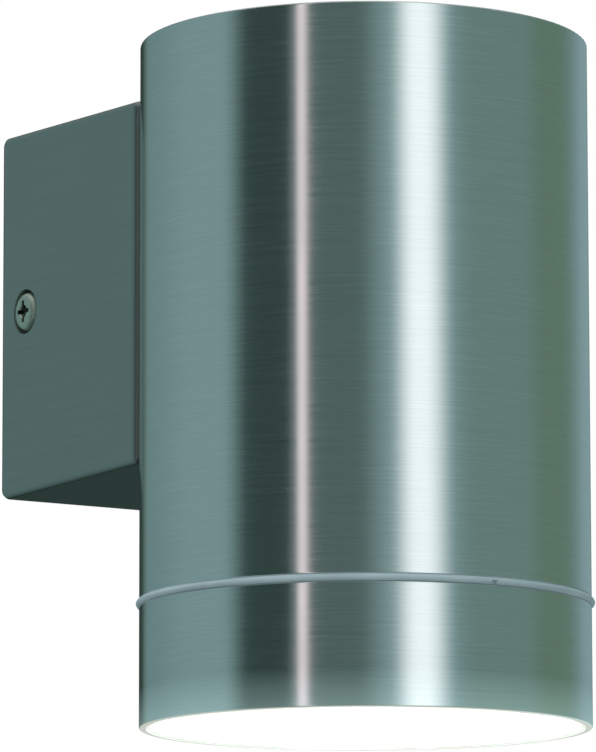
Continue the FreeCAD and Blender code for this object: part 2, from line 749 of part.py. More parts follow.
# ---------------------------------------------------------------- lampholder
def holder_bracket():
    """The L of plate under the upper joining screw. Its rolled leg lies against the tube's wall."""
    half = holder_bracket_width / 2
    leg = ring(leg_outside, leg_inside, lid_top, holder_bracket_top)
    leg = leg.common(block(-half, half, axis_y, axis_y + tube_radius, lid_top, holder_bracket_top))
    front = axis_y - holder_bracket_reach
    shelf = block(-half, half, front, axis_y + tube_radius, lid_top, shelf_top)
    shelf = shelf.makeFillet(shelf_corner, edges_where(shelf, lambda m, a: abs(a.z) > 0.9 and m.y < axis_y))
    shelf = shelf.common(disc(leg_outside, lid_top, shelf_top))
    bracket = leg.fuse(shelf).removeSplitter()

    def inside_bend(middle, along):
        reach = math.hypot(middle.x, middle.y - axis_y)
        return abs(reach - leg_inside) < 1e-3 and abs(middle.z - shelf_top) < 1e-3

    bracket = bracket.makeFillet(holder_bracket_bend, edges_where(bracket, inside_bend))
    bracket = bracket.cut(front_hole(joint_screw_thread + screw_gap, upper_screw_z))
    bracket = bracket.cut(front_hole(bush_radius + press_gap, bush_z))
    for x in (-pin_circle, pin_circle):
        bracket = bracket.cut(disc(lead_hole, lid_top - 1, shelf_top + 1, x))
    for x in (-holder_screw_spacing / 2, holder_screw_spacing / 2):
        bracket = bracket.cut(disc(holder_screw_thread + screw_gap, lid_top - 1, shelf_top + 1, x))
    x, y = earth_screw_x, axis_y + earth_screw_back
    collar = disc(earth_screw_thread + 1, lid_top - holder_bracket_thickness, shelf_top, x, y)
    hole = disc(earth_screw_thread + thread_gap, lid_top - earth_screw_length, shelf_top + 1, x, y)
    return bracket.fuse(collar).cut(hole).removeSplitter()


def lampholder():
    """The ceramic body: two keyhole slots below, a pocket for each pin head and contact above."""
    body = stadium(holder_length, holder_width, holder_bottom, holder_top)
    for locked in (0, 180):
        neck = pin_neck_radius + pin_clearance
        head = pin_head_radius + pin_clearance
        entry_angle = locked - twist_angle
        entry = on_circle(pin_circle, entry_angle)
        body = body.cut(arc_slot(neck, entry_angle, locked, holder_bottom - 1, holder_pocket + 1))
        body = body.cut(disc(head, holder_bottom - 1, holder_pocket + 1, entry.x, entry.y))
        body = body.cut(arc_slot(head, entry_angle, locked, holder_pocket, contact_bottom))
        body = body.cut(contact_pocket(locked))
    for x in (-holder_screw_spacing / 2, holder_screw_spacing / 2):
        depth = holder_top + holder_lid + holder_bracket_thickness - holder_screw_length - 1
        body = body.cut(disc(holder_screw_thread + thread_gap, depth, holder_top + 1, x))
    return body.removeSplitter()


def contact_pocket(angle):
    """The space above a pin's head that a contact and its lead fill."""
    middle = on_circle(pin_circle, angle)
    half = contact_width / 2 + press_gap
    low, high = contact_bottom, holder_top + 1
    return block(middle.x - half, middle.x + half, axis_y - half, axis_y + half, low, high)


def lampholder_contacts():
    """The two sprung plates that touch the pins, each with a tab that takes its lead."""
    half = contact_width / 2
    contacts = []
    for sign in (-1, 1):
        x0, x1 = sorted((sign * (pin_circle - half), sign * (pin_circle + half)))
        contact_top = contact_bottom + contact_thickness
        plate = block(x0, x1, axis_y - half, axis_y + half, contact_bottom, contact_top)
        outer = sign * (pin_circle + half)
        t0, t1 = sorted((outer, outer - sign * contact_thickness))
        tab = block(t0, t1, axis_y - half, axis_y + half, contact_bottom, holder_top - slide_gap)
        contacts.append(plate.fuse(tab).removeSplitter())
    return group(contacts)


def lampholder_lid():
    """The flat ceramic lid, with a hole for each lead and each screw."""
    lid = stadium(holder_length, holder_width, holder_top, lid_top)
    for x in (-pin_circle, pin_circle):
        lid = lid.cut(disc(lead_radius + screw_gap, holder_top - 1, lid_top + 1, x))
    for x in (-holder_screw_spacing / 2, holder_screw_spacing / 2):
        lid = lid.cut(disc(holder_screw_thread + screw_gap, holder_top - 1, lid_top + 1, x))
    return lid


def holder_screws():
    """The two screws down through the shelf into the lampholder."""
    solids = []
    for x in (-holder_screw_spacing / 2, holder_screw_spacing / 2):
        seat = Vector(x, axis_y, shelf_top)
        head = (holder_screw_head, holder_screw_head_height)
        solids.append(screw(*head, holder_screw_thread, holder_screw_length, seat, Z * -1))
    return group(solids)


def earth_lug():
    """The ring terminal under the earth screw, its barrel towards the room."""
    place = Vector(earth_screw_x, axis_y + earth_screw_back, shelf_top)
    low, high = shelf_top, shelf_top + lug_thickness
    barrel_radius = lead_radius + press_gap + lug_barrel_wall
    lug = disc(lug_radius, low, high, place.x, place.y)
    tail_end = place.y - lug_radius - 1.5
    lug = lug.fuse(block(place.x - lug_thickness, place.x + lug_thickness, tail_end, place.y, low, high))
    start = Vector(place.x, tail_end + 0.5, low + barrel_radius)
    end = start - Y * lug_barrel
    lug = lug.fuse(rod(barrel_radius, start, end))
    lug = lug.cut(rod(lead_radius + press_gap, start - Y * 1.0, end - Y))
    hole = disc(earth_screw_thread + screw_gap, low - 1, high + 1, place.x, place.y)
    return lug.cut(hole).removeSplitter()


def earth_screw():
    """The screw that earths the metalwork."""
    seat = Vector(earth_screw_x, axis_y + earth_screw_back, shelf_top + lug_thickness)
    head = (earth_screw_head, earth_screw_head_height)
    return screw(*head, earth_screw_thread, earth_screw_length, seat, Z * -1)


# ---------------------------------------------------------------- leads
def lead(points, bend):
    """An insulated wire: straight runs between points, joined by tangent arcs."""
    edges = []
    here = points[0]
    for before, corner, after in zip(points, points[1:], points[2:]):
        back = (before - corner).normalize()
        ahead = (after - corner).normalize()
        half_turn = (math.pi - back.getAngle(ahead)) / 2
        shorter = min((before - corner).Length, (after - corner).Length)
        radius = min(bend, 0.45 * shorter / math.tan(half_turn))
        trim = radius * math.tan(half_turn)
        inward = (back + ahead).normalize()
        middle = corner + inward * (radius / math.cos(half_turn) - radius)
        arc_start = corner + back * trim
        arc_end = corner + ahead * trim
        edges.append(Part.LineSegment(here, arc_start).toShape())
        edges.append(Part.Arc(arc_start, middle, arc_end).toShape())
        here = arc_end
        print("lead bend radius %.1f mm" % radius)
    edges.append(Part.LineSegment(here, points[-1]).toShape())
    path = Part.Wire(edges)
    first = (points[1] - points[0]).normalize()
    section = Part.Wire([Part.Circle(points[0], first, lead_radius).toShape()])
    tube = path.makePipeShell([section], True, False)
    straight = math.pi * lead_radius**2 * path.Length
    print("lead volume %.1f mm3, section times length %.1f" % (tube.Volume, straight))
    return tube


def box_end(way, place):
    """The route of a lead from the bush's middle to its brass barrel in the box."""
    x = ways()[way]
    mouth = block_middle_z + block_length / 2
    points = [Vector(place.x, wire_y, place.z)]
    if abs(x - place.x) > lead_radius:
        points.append(Vector(x, wire_y, mouth + lead_drop))
    return points + [Vector(x, wire_y, mouth - barrel_shortfall - lead_entry)]


def bush_place(angle):
    """Where one of the three leads runs through the bush."""
    turn = math.radians(angle)
    return Vector(lead_spread * math.cos(turn), box_inside_front, bush_z + lead_spread * math.sin(turn))


def lamp_lead(side, way, angle):
    """A lead from one lampholder contact, up, back through the bush and down to the terminal block."""
    place = bush_place(angle)
    points = [
        Vector(side * pin_circle, axis_y, contact_bottom + contact_thickness + lead_end_gap),
        Vector(side * pin_circle, axis_y, bush_z - lead_radius / 2),
        Vector(place.x, axis_y + tube_bore / 2, place.z),
    ]
    return lead(points + box_end(way, place), lead_bend * 1.5)


def earth_lead():
    """The lead from the ring terminal to the middle way of the terminal block."""
    place = bush_place(270)
    lug_end = axis_y + earth_screw_back - lug_radius - 1 - lug_barrel
    turn_y = lug_end - lead_bend * 1.25
    barrel_z = shelf_top + lead_radius + press_gap + lug_barrel_wall
    points = [
        Vector(earth_screw_x, lug_end + lug_barrel - 1.1, barrel_z),
        Vector(earth_screw_x, turn_y, barrel_z),
        Vector(earth_screw_x / 2, turn_y + lead_radius, (place.z + bush_z) / 2 - lead_bend / 2),
        Vector(place.x, joint_head_y - lead_bend, place.z),
    ]
    return lead(points + box_end(1, place), lead_bend)


# ---------------------------------------------------------------- the lamp
def reflector_face(gap):
    """Points on the reflector's outside, moved inwards by a gap: its rim, middle and neck."""
    rim = Vector(lamp_radius - 1 - gap, axis_y, lamp_face + lamp_rim + 1)
    middle_z = lamp_face + lamp_rim + (lamp_flare - lamp_rim) * 0.55
    middle = Vector(lamp_neck_radius + (lamp_radius - lamp_neck_radius) * 0.6 - gap, axis_y, middle_z)
    neck = Vector(lamp_neck_radius - gap, axis_y, lamp_face + lamp_flare)
    return rim, middle, neck


def lamp_reflector():
    """The pressed glass bowl, open at its neck for the base and stepped at its rim for the cover."""
    rim, middle, neck = reflector_face(0)
    inner_rim, inner_middle, inner_neck = reflector_face(lamp_glass_wall * 1.15)
    low = lamp_face
    seat = low + lamp_cover_recess + lamp_cover_thickness
    cover = lamp_radius - lamp_glass_wall

    def at(radius, z):
        return Vector(radius, axis_y, z)

    corners = [inner_rim, at(inner_rim.x, seat), at(cover, seat), at(cover, low), at(lamp_radius, low)]
    corners += [at(lamp_radius, low + lamp_rim), rim]
    outline = [Part.LineSegment(a, b).toShape() for a, b in zip(corners, corners[1:])]
    outline.append(Part.Arc(rim, middle, neck).toShape())
    outline.append(Part.LineSegment(neck, inner_neck).toShape())
    outline.append(Part.Arc(inner_neck, inner_middle, inner_rim).toShape())
    return Part.Face(Part.Wire(outline)).revolve(Vector(0, axis_y, 0), Z, 360)


def lamp_cover():
    """The lamp's own clear front, set in the rim."""
    low = lamp_face + lamp_cover_recess
    return disc(lamp_radius - lamp_glass_wall - press_gap, low, low + lamp_cover_thickness)


def lamp_base():
    """The lamp's base: a plug in the reflector's neck, a flange, and the block that the pins stand on."""
    neck = lamp_face + lamp_flare
    _, _, inner_neck = reflector_face(lamp_glass_wall * 1.15)
    base = disc(inner_neck.x - press_gap - 0.4, neck - 2.5, neck)
    base = base.fuse(disc(lamp_neck_radius, neck, neck + 3))
    return base.fuse(stadium(lamp_base_length, lamp_base_width, neck + 3, lamp_end)).removeSplitter()


def lamp_pins():
    """The two headed pins that hang the lamp in its slots."""
    pins = []
    for x in (-pin_circle, pin_circle):
        neck = disc(pin_neck_radius, lamp_end, pin_head_bottom, x)
        head = disc(pin_head_radius, pin_head_bottom, pin_head_top, x)
        rim = edges_where(head, lambda m, a: m.z > pin_head_top - 1e-4 and abs(a.z) < 1e-4)
        pins.append(neck.fuse(head.makeFillet(pin_head_radius * 0.25, rim)).removeSplitter())
    return group(pins)


def lamp_capsule():
    """The small round-ended burner on the base, in the bowl's middle."""
    top = lamp_face + lamp_flare - 2.5
    burner = disc(capsule_radius, top - capsule_length, top)
    return burner.makeFillet(capsule_radius * 0.9, rims_at(burner, capsule_radius, top - capsule_length))


# ---------------------------------------------------------------- every piece, by name
pieces = {
    "wall_bracket": wall_bracket(),
    "cable_grommet": cable_grommet(),
    "wall_gasket": wall_gasket(),
    "back_box": back_box(),
    "side_screw_right": side_screw(),
    "side_screw_left": mirrored(side_screw()),
    "saddle_pad": saddle_pad(),
    "wire_bush": wire_bush(),
    "joint_screw_upper": joint_screw(upper_screw_z, leg_inside),
    "joint_screw_lower": joint_screw(lower_screw_z, tube_bore),
    "joint_washers": lock_washers(),
    "joint_nuts": joint_nuts(),
    "terminal_strap": terminal_strap(),
    "terminal_block": terminal_block(),
    "terminal_barrels": terminal_barrels(),
    "terminal_clamp_screws": clamp_screws(),
    "terminal_block_screw": block_screw(),
    "body_tube": body_tube(),
    "top_cap": top_cap(),
    "threaded_ring": threaded_ring(),
    "bezel_sleeve": bezel_sleeve(),
    "bezel_collar": bezel_collar(),
    "bezel_seal": bezel_seal(),
    "lens_seal": lens_seal(),
    "lens_glass": lens_glass(),
    "lampholder_bracket": holder_bracket(),
    "lampholder_body": lampholder(),
    "lampholder_contacts": lampholder_contacts(),
    "lampholder_lid": lampholder_lid(),
    "lampholder_screws": holder_screws(),
    "earth_lug": earth_lug(),
    "earth_screw": earth_screw(),
    "live_lead": lamp_lead(-1, 0, 150),
    "neutral_lead": lamp_lead(1, 2, 30),
    "earth_lead": earth_lead(),
    "lamp_reflector": lamp_reflector(),
    "lamp_cover": lamp_cover(),
    "lamp_base": lamp_base(),
    "lamp_pins": lamp_pins(),
    "lamp_capsule": lamp_capsule(),
}

os.makedirs("parts", exist_ok=True)
for name, shape in pieces.items():
    if not shape.isValid():
        print("not valid:", name)
    shape.exportStep("parts/%s.step" % name)
print(len(pieces), "pieces")
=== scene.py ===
"""Tube wall light: a brushed steel tube, lit glass in its lower end, held off the wall by a steel box.

Everything is in metres in the frame of the solids: the wall is the plane Y = 0, and the tube stands
upright in front of it. Pieces come in the order in which the light is put together, from the wall out.
"""

import math

import bpy
from mathutils import Matrix, Vector


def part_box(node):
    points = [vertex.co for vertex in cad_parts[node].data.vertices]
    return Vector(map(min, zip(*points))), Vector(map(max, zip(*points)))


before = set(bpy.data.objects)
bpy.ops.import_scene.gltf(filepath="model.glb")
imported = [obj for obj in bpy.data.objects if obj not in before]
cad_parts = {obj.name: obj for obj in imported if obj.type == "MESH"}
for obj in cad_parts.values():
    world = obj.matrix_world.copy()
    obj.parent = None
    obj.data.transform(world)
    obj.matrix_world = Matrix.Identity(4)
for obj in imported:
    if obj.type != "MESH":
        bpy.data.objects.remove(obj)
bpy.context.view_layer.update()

# ---------------------------------------------------------------- camera
# A long lens to the left of the light and a little below it, near enough that the tube tapers upwards.
# It looks at the middle of the tube's height, on the tube's own axis.
tube_low, tube_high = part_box("body_tube")
sleeve_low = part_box("bezel_sleeve")[0]
AXIS_Y = (tube_low[1] + tube_high[1]) / 2
tube_middle = Vector((0, AXIS_Y, (sleeve_low[2] + tube_high[2]) / 2))

camera_azimuth = math.radians(-32.6)
camera_elevation = math.radians(-8.94)
camera_roll = math.radians(-0.1)
camera_distance = 0.8895
camera_lens = 294.8
shift_right, shift_up = -0.00962, 0.00143

back = Vector(
    (
        math.sin(camera_azimuth) * math.cos(camera_elevation),
        -math.cos(camera_azimuth) * math.cos(camera_elevation),
        math.sin(camera_elevation),
    )
)
level_right = Vector((math.cos(camera_azimuth), math.sin(camera_azimuth), 0))
right = level_right * math.cos(camera_roll) + back.cross(level_right) * math.sin(camera_roll)
up = back.cross(right)
camera_data = bpy.data.cameras.new("photo_camera")
camera_data.lens = camera_lens
camera_data.clip_start = 0.05
camera = bpy.data.objects.new("photo_camera", camera_data)
camera_place = tube_middle + back * camera_distance + right * shift_right + up * shift_up
camera.matrix_world = Matrix.Translation(camera_place) @ Matrix((right, up, back)).transposed().to_4x4()
bpy.context.scene.collection.objects.link(camera)
bpy.context.scene.camera = camera
bpy.context.scene.view_settings.view_transform = "Standard"


# ---------------------------------------------------------------- room
# The steel shows a dim grey-green studio: black cloth and a narrow strip light at its left, one tall soft
# light straight in front of the wall. Each panel of the room stands round the light, in degrees from the
# front, and fades out over its own soft edge. The camera itself sees plain white paper behind the light.
def node(tree, kind, **inputs):
    """A shader node with some of its inputs set or linked."""
    made = tree.nodes.new("ShaderNode" + kind)
    for name, value in inputs.items():
        socket = made.inputs[name.replace("_", " ")]
        if isinstance(value, bpy.types.NodeSocket):
            tree.links.new(value, socket)
        else:
            socket.default_value = value
    return made


def calculate(tree, operation, *values):
    """A sum, product or other small calculation on values and sockets."""
    made = tree.nodes.new("ShaderNodeMath")
    made.operation = operation
    for socket, value in zip(made.inputs, values):
        if isinstance(value, bpy.types.NodeSocket):
            tree.links.new(value, socket)
        else:
            socket.default_value = value
    return made.outputs[0]


def blend_colours(tree, factor, first, second):
    """A colour between two others, each a plain colour or a socket."""
    mixed = tree.nodes.new("ShaderNodeMix")
    mixed.data_type = "RGBA"
    tree.links.new(factor, mixed.inputs["Factor"])
    for colour, socket in ((first, mixed.inputs["A"]), (second, mixed.inputs["B"])):
        if isinstance(colour, bpy.types.NodeSocket):
            tree.links.new(colour, socket)
        else:
            socket.default_value = (*colour, 1)
    return mixed.outputs["Result"]


def spread(tree, value, low, high, start=0.0, end=1.0, smooth=False):
    """A value mapped from one range onto another."""
    ranged = node(tree, "MapRange", From_Min=start, From_Max=end, To_Min=low, To_Max=high)
    ranged.interpolation_type = "SMOOTHSTEP" if smooth else "LINEAR"
    tree.links.new(value, ranged.inputs["Value"])
    return ranged.outputs["Result"]


world = bpy.data.worlds.new("studio")
bpy.context.scene.world = world
world.use_nodes = True
tree = world.node_tree
tree.nodes.clear()
ways = node(tree, "SeparateXYZ", Vector=node(tree, "TexCoord").outputs["Generated"])
ahead = calculate(tree, "MULTIPLY", ways.outputs["Y"], -1.0)
degrees_round = calculate(
    tree, "MULTIPLY", calculate(tree, "ARCTAN2", ways.outputs["X"], ahead), math.degrees(1)
)


def panel(behind, start, end, soft_start, soft_end, colour):
    """Sets one panel of the room in front of what is there already."""
    rising = spread(tree, degrees_round, 0.0, 1.0, start - soft_start, start, smooth=True)
    falling = spread(tree, degrees_round, 1.0, 0.0, end, end + soft_end, smooth=True)
    return blend_colours(tree, calculate(tree, "MULTIPLY", rising, falling), behind, colour)


left_wall = (0.22, 0.35, 0.355)
right_wall = (0.157, 0.255, 0.235)
room = panel(left_wall, 15, 200, 15, 1, right_wall)
room = panel(room, -220, -178, 1, 50, (0.17, 0.275, 0.285))  # dim corner at the far left
room = panel(room, -94, -72, 17, 2, (0.031, 0.06, 0.054))  # black cloth
room = panel(room, -70, -38, 2, 20, (0.085, 0.14, 0.13))  # dark studio behind the camera
room = panel(room, -66.4, -64.7, 2, 4, (1.15, 1.02, 1.07))  # narrow strip light, a little pink
room = panel(room, -4, 9, 10, 16, (0.2, 0.33, 0.335))  # wall that the soft light falls on
room = panel(room, -7, -2, 14, 16, (1.15, 1.26, 1.3))  # tall soft light
room = panel(room, 72, 86, 16, 16, (0.133, 0.222, 0.168))  # green cloth at the right
room = panel(room, 116, 130, 20, 10, (0.235, 0.355, 0.375))  # pale edge of the wall
room = panel(room, 146, 166, 8, 14, (0.03, 0.05, 0.046))  # shade behind the light

ceiling = (0.6, 0.64, 0.64)
ground = (0.03, 0.046, 0.042)
ends = blend_colours(tree, spread(tree, ways.outputs["Z"], 0.0, 1.0, -0.2, 0.2), ground, ceiling)
steepness = calculate(tree, "ABSOLUTE", ways.outputs["Z"])
room = blend_colours(tree, spread(tree, steepness, 0.0, 1.0, 0.5, 0.95, smooth=True), room, ends)
paper_white = (1.0, 1.0, 1.0)
seen = blend_colours(tree, node(tree, "LightPath").outputs["Is Camera Ray"], room, paper_white)
shine = node(tree, "Background", Color=seen)
tree.links.new(shine.outputs[0], node(tree, "OutputWorld").inputs["Surface"])


# ---------------------------------------------------------------- studio lights and floor
# Two soft lights for the dull pieces, which the steel doesn't mirror, and a plain pale floor.
# The light hangs well above the floor, as it does on a wall.
def soft_light(name, place, size, power):
    """A square studio light aimed at the middle of the tube."""
    data = bpy.data.lights.new(name, "AREA")
    data.shape = "SQUARE"
    data.size = size
    data.energy = power
    light = bpy.data.objects.new(name, data)
    facing = (Vector(place) - tube_middle).to_track_quat("Z", "Y").to_matrix().to_4x4()
    light.matrix_world = Matrix.Translation(place) @ facing
    light.visible_glossy = False
    bpy.context.scene.collection.objects.link(light)


soft_light("key_light", (-0.7, -0.8, 0.9), size=1.0, power=18)
soft_light("wall_light", (-0.5, 0.9, 0.5), size=0.8, power=8)

floor_level = -2.4
floor_reach = 8
floor_data = bpy.data.meshes.new("studio_floor")
floor_data.from_pydata(
    [
        (side * floor_reach, along * floor_reach, floor_level)
        for side, along in ((-1, -1), (1, -1), (1, 1), (-1, 1))
    ],
    [],
    [(0, 1, 2, 3)],
)
floor = bpy.data.objects.new("studio_floor", floor_data)
floor.visible_glossy = False
bpy.context.scene.collection.objects.link(floor)
paper = bpy.data.materials.new("floor_paper")
paper.use_nodes = True
paper_shader = paper.node_tree.nodes["Principled BSDF"]
paper_shader.inputs["Base Color"].default_value = (0.86, 0.86, 0.85, 1)
paper_shader.inputs["Roughness"].default_value = 0.9
paper_shader.inputs["Emission Color"].default_value = (1, 1, 1, 1)
paper_shader.inputs["Emission Strength"].default_value = 0.45
floor_data.materials.append(paper)


# ---------------------------------------------------------------- wall bracket
# A flat cross of steel sheet, zinc plated, screwed to the wall through its two slots.
# Its two bent ears have a tapped hole each, which take the side screws of the box.
def make_grain_group():
    """Fine parallel scratches and a slow drift in the finish, both from 0 to 1 over the surface."""
    group = bpy.data.node_groups.new("brushed_grain", "ShaderNodeTree")
    stretch = group.interface.new_socket("Stretch", in_out="INPUT", socket_type="NodeSocketVector")
    stretch.default_value = (1, 1, 1)
    group.interface.new_socket("Lines", in_out="OUTPUT", socket_type="NodeSocketFloat")
    group.interface.new_socket("Drift", in_out="OUTPUT", socket_type="NodeSocketFloat")
    given = group.nodes.new("NodeGroupInput")
    place = node(group, "TexCoord").outputs["Object"]
    stretched = node(group, "Mapping", Vector=place, Scale=given.outputs["Stretch"]).outputs[0]
    coarse = node(group, "TexNoise", Vector=stretched, Scale=1.0, Detail=3.0, Roughness=0.7)
    fine = node(group, "TexNoise", Vector=stretched, Scale=2.6, Detail=2.0, Roughness=0.6)
    lines = calculate(group, "ADD", coarse.outputs["Fac"], fine.outputs["Fac"])
    drift = node(group, "TexNoise", Vector=place, Scale=55.0, Detail=2.0)
    result = group.nodes.new("NodeGroupOutput")
    group.links.new(spread(group, lines, 0.0, 1.0, 0.7, 1.3), result.inputs["Lines"])
    group.links.new(spread(group, drift.outputs["Fac"], 0.0, 1.0, 0.3, 0.7), result.inputs["Drift"])
    return group


grain_group = make_grain_group()


def worked_metal(name, dark, light, stretch, roughness, depth=0.00001, strength=0.2):
    """A bare metal whose scratches run along the direction with the smallest stretch."""
    material = bpy.data.materials.new(name)
    material.use_nodes = True
    tree = material.node_tree
    shader = tree.nodes["Principled BSDF"]
    grain = tree.nodes.new("ShaderNodeGroup")
    grain.node_tree = grain_group
    grain.inputs["Stretch"].default_value = stretch
    tree.links.new(blend_colours(tree, grain.outputs["Lines"], dark, light), shader.inputs["Base Color"])
    scratched = spread(tree, grain.outputs["Lines"], -0.03, 0.03)
    handled = spread(tree, grain.outputs["Drift"], roughness - 0.02, roughness + 0.02)
    tree.links.new(calculate(tree, "ADD", scratched, handled), shader.inputs["Roughness"])
    bump = node(tree, "Bump", Height=grain.outputs["Lines"], Distance=depth, Strength=strength)
    tree.links.new(bump.outputs["Normal"], shader.inputs["Normal"])
    shader.inputs["Metallic"].default_value = 1.0
    return material, tree, shader, grain


def dress(material, *names):
    """Gives the pieces of these names this material."""
    for name in names:
        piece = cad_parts[name]
        if not piece.material_slots:
            piece.data.materials.append(material)
        for slot in piece.material_slots:
            slot.material = material


zinc_plate, tree, shader, grain = worked_metal(
    "zinc_plate", (0.56, 0.6, 0.66), (0.76, 0.75, 0.7), (420, 420, 420), 0.34
)
blue_zinc = blend_colours(tree, grain.outputs["Drift"], (0.88, 0.97, 1.1), (1.08, 1.0, 0.86))
tinted = node(tree, "Mix")
tinted.data_type = "RGBA"
tinted.blend_type = "MULTIPLY"
tinted.inputs["Factor"].default_value = 1.0
tree.links.new(shader.inputs["Base Color"].links[0].from_socket, tinted.inputs["A"])
tree.links.new(blue_zinc, tinted.inputs["B"])
tree.links.new(tinted.outputs["Result"], shader.inputs["Base Color"])
dress(zinc_plate, "wall_bracket")


# ---------------------------------------------------------------- cable grommet and wall gasket
# The grommet is a moulded rubber bush that lines the bracket's hole for the supply cable.
# The gasket is a frame cut from black foam sheet, squeezed between the box's back edge and the wall.
def make_skin_group():
    """The fine pebbled skin of a moulding and the slow drift of its colour, both from 0 to 1."""
    group = bpy.data.node_groups.new("moulded_skin", "ShaderNodeTree")
    size = group.interface.new_socket("Pebbles", in_out="INPUT", socket_type="NodeSocketFloat")
    size.default_value = 1500
    group.interface.new_socket("Skin", in_out="OUTPUT", socket_type="NodeSocketFloat")
    group.interface.new_socket("Drift", in_out="OUTPUT", socket_type="NodeSocketFloat")
    given = group.nodes.new("NodeGroupInput")
    place = node(group, "TexCoord").outputs["Object"]
    skin = node(group, "TexNoise", Vector=place, Scale=given.outputs["Pebbles"], Detail=4.0, Roughness=0.6)
    slow = calculate(group, "MULTIPLY", given.outputs["Pebbles"], 0.07)
    drift = node(group, "TexNoise", Vector=place, Scale=slow, Detail=2.0)
    result = group.nodes.new("NodeGroupOutput")
    group.links.new(spread(group, skin.outputs["Fac"], 0.0, 1.0, 0.25, 0.75), result.inputs["Skin"])
    group.links.new(spread(group, drift.outputs["Fac"], 0.0, 1.0, 0.3, 0.7), result.inputs["Drift"])
    return group


skin_group = make_skin_group()


def moulded(name, dark, light, roughness, pebbles, depth=0.00002, strength=0.3):
    """A moulding: a pebbled skin, gloss that follows it, and a slow drift between two colours."""
    material = bpy.data.materials.new(name)
    material.use_nodes = True
    tree = material.node_tree
    shader = tree.nodes["Principled BSDF"]
    skin = tree.nodes.new("ShaderNodeGroup")
    skin.node_tree = skin_group
    skin.inputs["Pebbles"].default_value = pebbles
    tree.links.new(blend_colours(tree, skin.outputs["Drift"], dark, light), shader.inputs["Base Color"])
    gloss = spread(tree, skin.outputs["Skin"], max(roughness - 0.06, 0.02), roughness + 0.06)
    tree.links.new(gloss, shader.inputs["Roughness"])
    bump = node(tree, "Bump", Height=skin.outputs["Skin"], Distance=depth, Strength=strength)
    tree.links.new(bump.outputs["Normal"], shader.inputs["Normal"])
    return material, tree, shader, skin


black_rubber = moulded("black_rubber", (0.018, 0.018, 0.019), (0.035, 0.035, 0.036), 0.62, 2500)[0]
dress(black_rubber, "cable_grommet")

foam = moulded("foam_sheet", (0.03, 0.03, 0.031), (0.06, 0.06, 0.06), 0.9, 4000, 0.00008, 0.6)[0]
dress(foam, "wall_gasket")


# ---------------------------------------------------------------- wall box
# Satin stainless sheet, bent on five sides and open to the wall, with its grain along its depth.
# Its own colour is set darker than the tube's, as it looks in the photograph, and painted shade darkens it
# towards its front, where it meets the tube.
def object_axes(tree):
    """The X, Y and Z of each point of the piece, in metres."""
    return node(tree, "SeparateXYZ", Vector=node(tree, "TexCoord").outputs["Object"]).outputs


def tint(tree, shader, mask, colour):
    """Lays a colour over the one that the shader has already, where the mask is 1."""
    base = shader.inputs["Base Color"]
    tree.links.new(blend_colours(tree, mask, base.links[0].from_socket, colour), base)


box_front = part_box("back_box")[0][1]
front_shade_start = 0.0001
front_shade_depth = 0.002
front_shade_colour = (0.28, 0.3, 0.285)
box_steel, tree, shader = worked_metal(
    "box_steel", (0.375, 0.405, 0.385), (0.435, 0.46, 0.44), (3000, 40, 3000), 0.42
)[:3]
depth_along = object_axes(tree)["Y"]
# Painted shade: the box goes darker towards its front face, where it meets the tube, fading out over 2 mm.
front_shade_mask = spread(tree, depth_along, 1.0, 0.0, box_front + front_shade_start, box_front + front_shade_depth, smooth=True)
tint(tree, shader, front_shade_mask, front_shade_colour)
dress(box_steel, "back_box")

# ---------------------------------------------------------------- side screws
# Two cross-head pan screws of plain stainless steel, tumbled to a soft shine, one in each pressed dimple.
# They pass through the box into the bracket's ears.
# The cross is painted darker below the head's flat top: painted shade in the recess.
screw_low, screw_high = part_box("side_screw_right")
screw_middle = [(low + high) / 2 for low, high in zip(screw_low, screw_high)]
head_top = screw_high[0]
recess_radius = 0.0018
recess_edge = 0.0001
shade_start, shade_end = 0.0001, 0.0003
recess_shade_colour = (0.12, 0.13, 0.1)
tumbled_steel, tree, shader = worked_metal(
    "tumbled_steel", (0.6, 0.64, 0.55), (0.72, 0.75, 0.66), (900, 900, 900), 0.5
)[:3]
apart = object_axes(tree)
squares = [
    calculate(tree, "POWER", calculate(tree, "SUBTRACT", apart[axis], middle), 2.0)
    for axis, middle in (("Y", screw_middle[1]), ("Z", screw_middle[2]))
]
from_axis = calculate(tree, "SQRT", calculate(tree, "ADD", *squares))
out_along = calculate(tree, "ABSOLUTE", apart["X"])
below_top = spread(tree, out_along, 1.0, 0.0, head_top - shade_end, head_top - shade_start)
within = spread(tree, from_axis, 1.0, 0.0, recess_radius - recess_edge, recess_radius)
# Painted shade: inside the cross, below the head's top, the colour goes dark.
tint(tree, shader, calculate(tree, "MULTIPLY", below_top, within), recess_shade_colour)
dress(tumbled_steel, "side_screw_left", "side_screw_right")

# ---------------------------------------------------------------- saddle pad, wire bush and joint screws
# The moulded pad fills the wedge between the flat box and the round tube; the bush lines the wires' hole.
# Two zinc-plated screws with washers and nuts clamp tube, pad and box together from inside the tube.
dress(black_rubber, "saddle_pad", "wire_bush")
dress(zinc_plate, "joint_screw_upper", "joint_screw_lower", "joint_washers", "joint_nuts")

# ---------------------------------------------------------------- terminal block
# A cream three-way block on a plated strap, with a brass barrel in each way and two clamp screws to each.
# The plastic is moulded and a little glossy; the brass is plain and has dulled by handling.
dress(zinc_plate, "terminal_strap", "terminal_clamp_screws", "terminal_block_screw")
cream_plastic = moulded("cream_plastic", (0.74, 0.72, 0.63), (0.8, 0.78, 0.7), 0.42, 1500)[0]
dress(cream_plastic, "terminal_block")

plain_brass, tree, shader, grain = worked_metal(
    "plain_brass", (0.62, 0.45, 0.2), (0.83, 0.65, 0.34), (700, 700, 700), 0.32
)
tarnish = spread(tree, grain.outputs["Drift"], 0.0, 0.5)
tarnish_colour = (0.4, 0.26, 0.12)
tint(tree, shader, tarnish, tarnish_colour)
dress(plain_brass, "terminal_barrels")

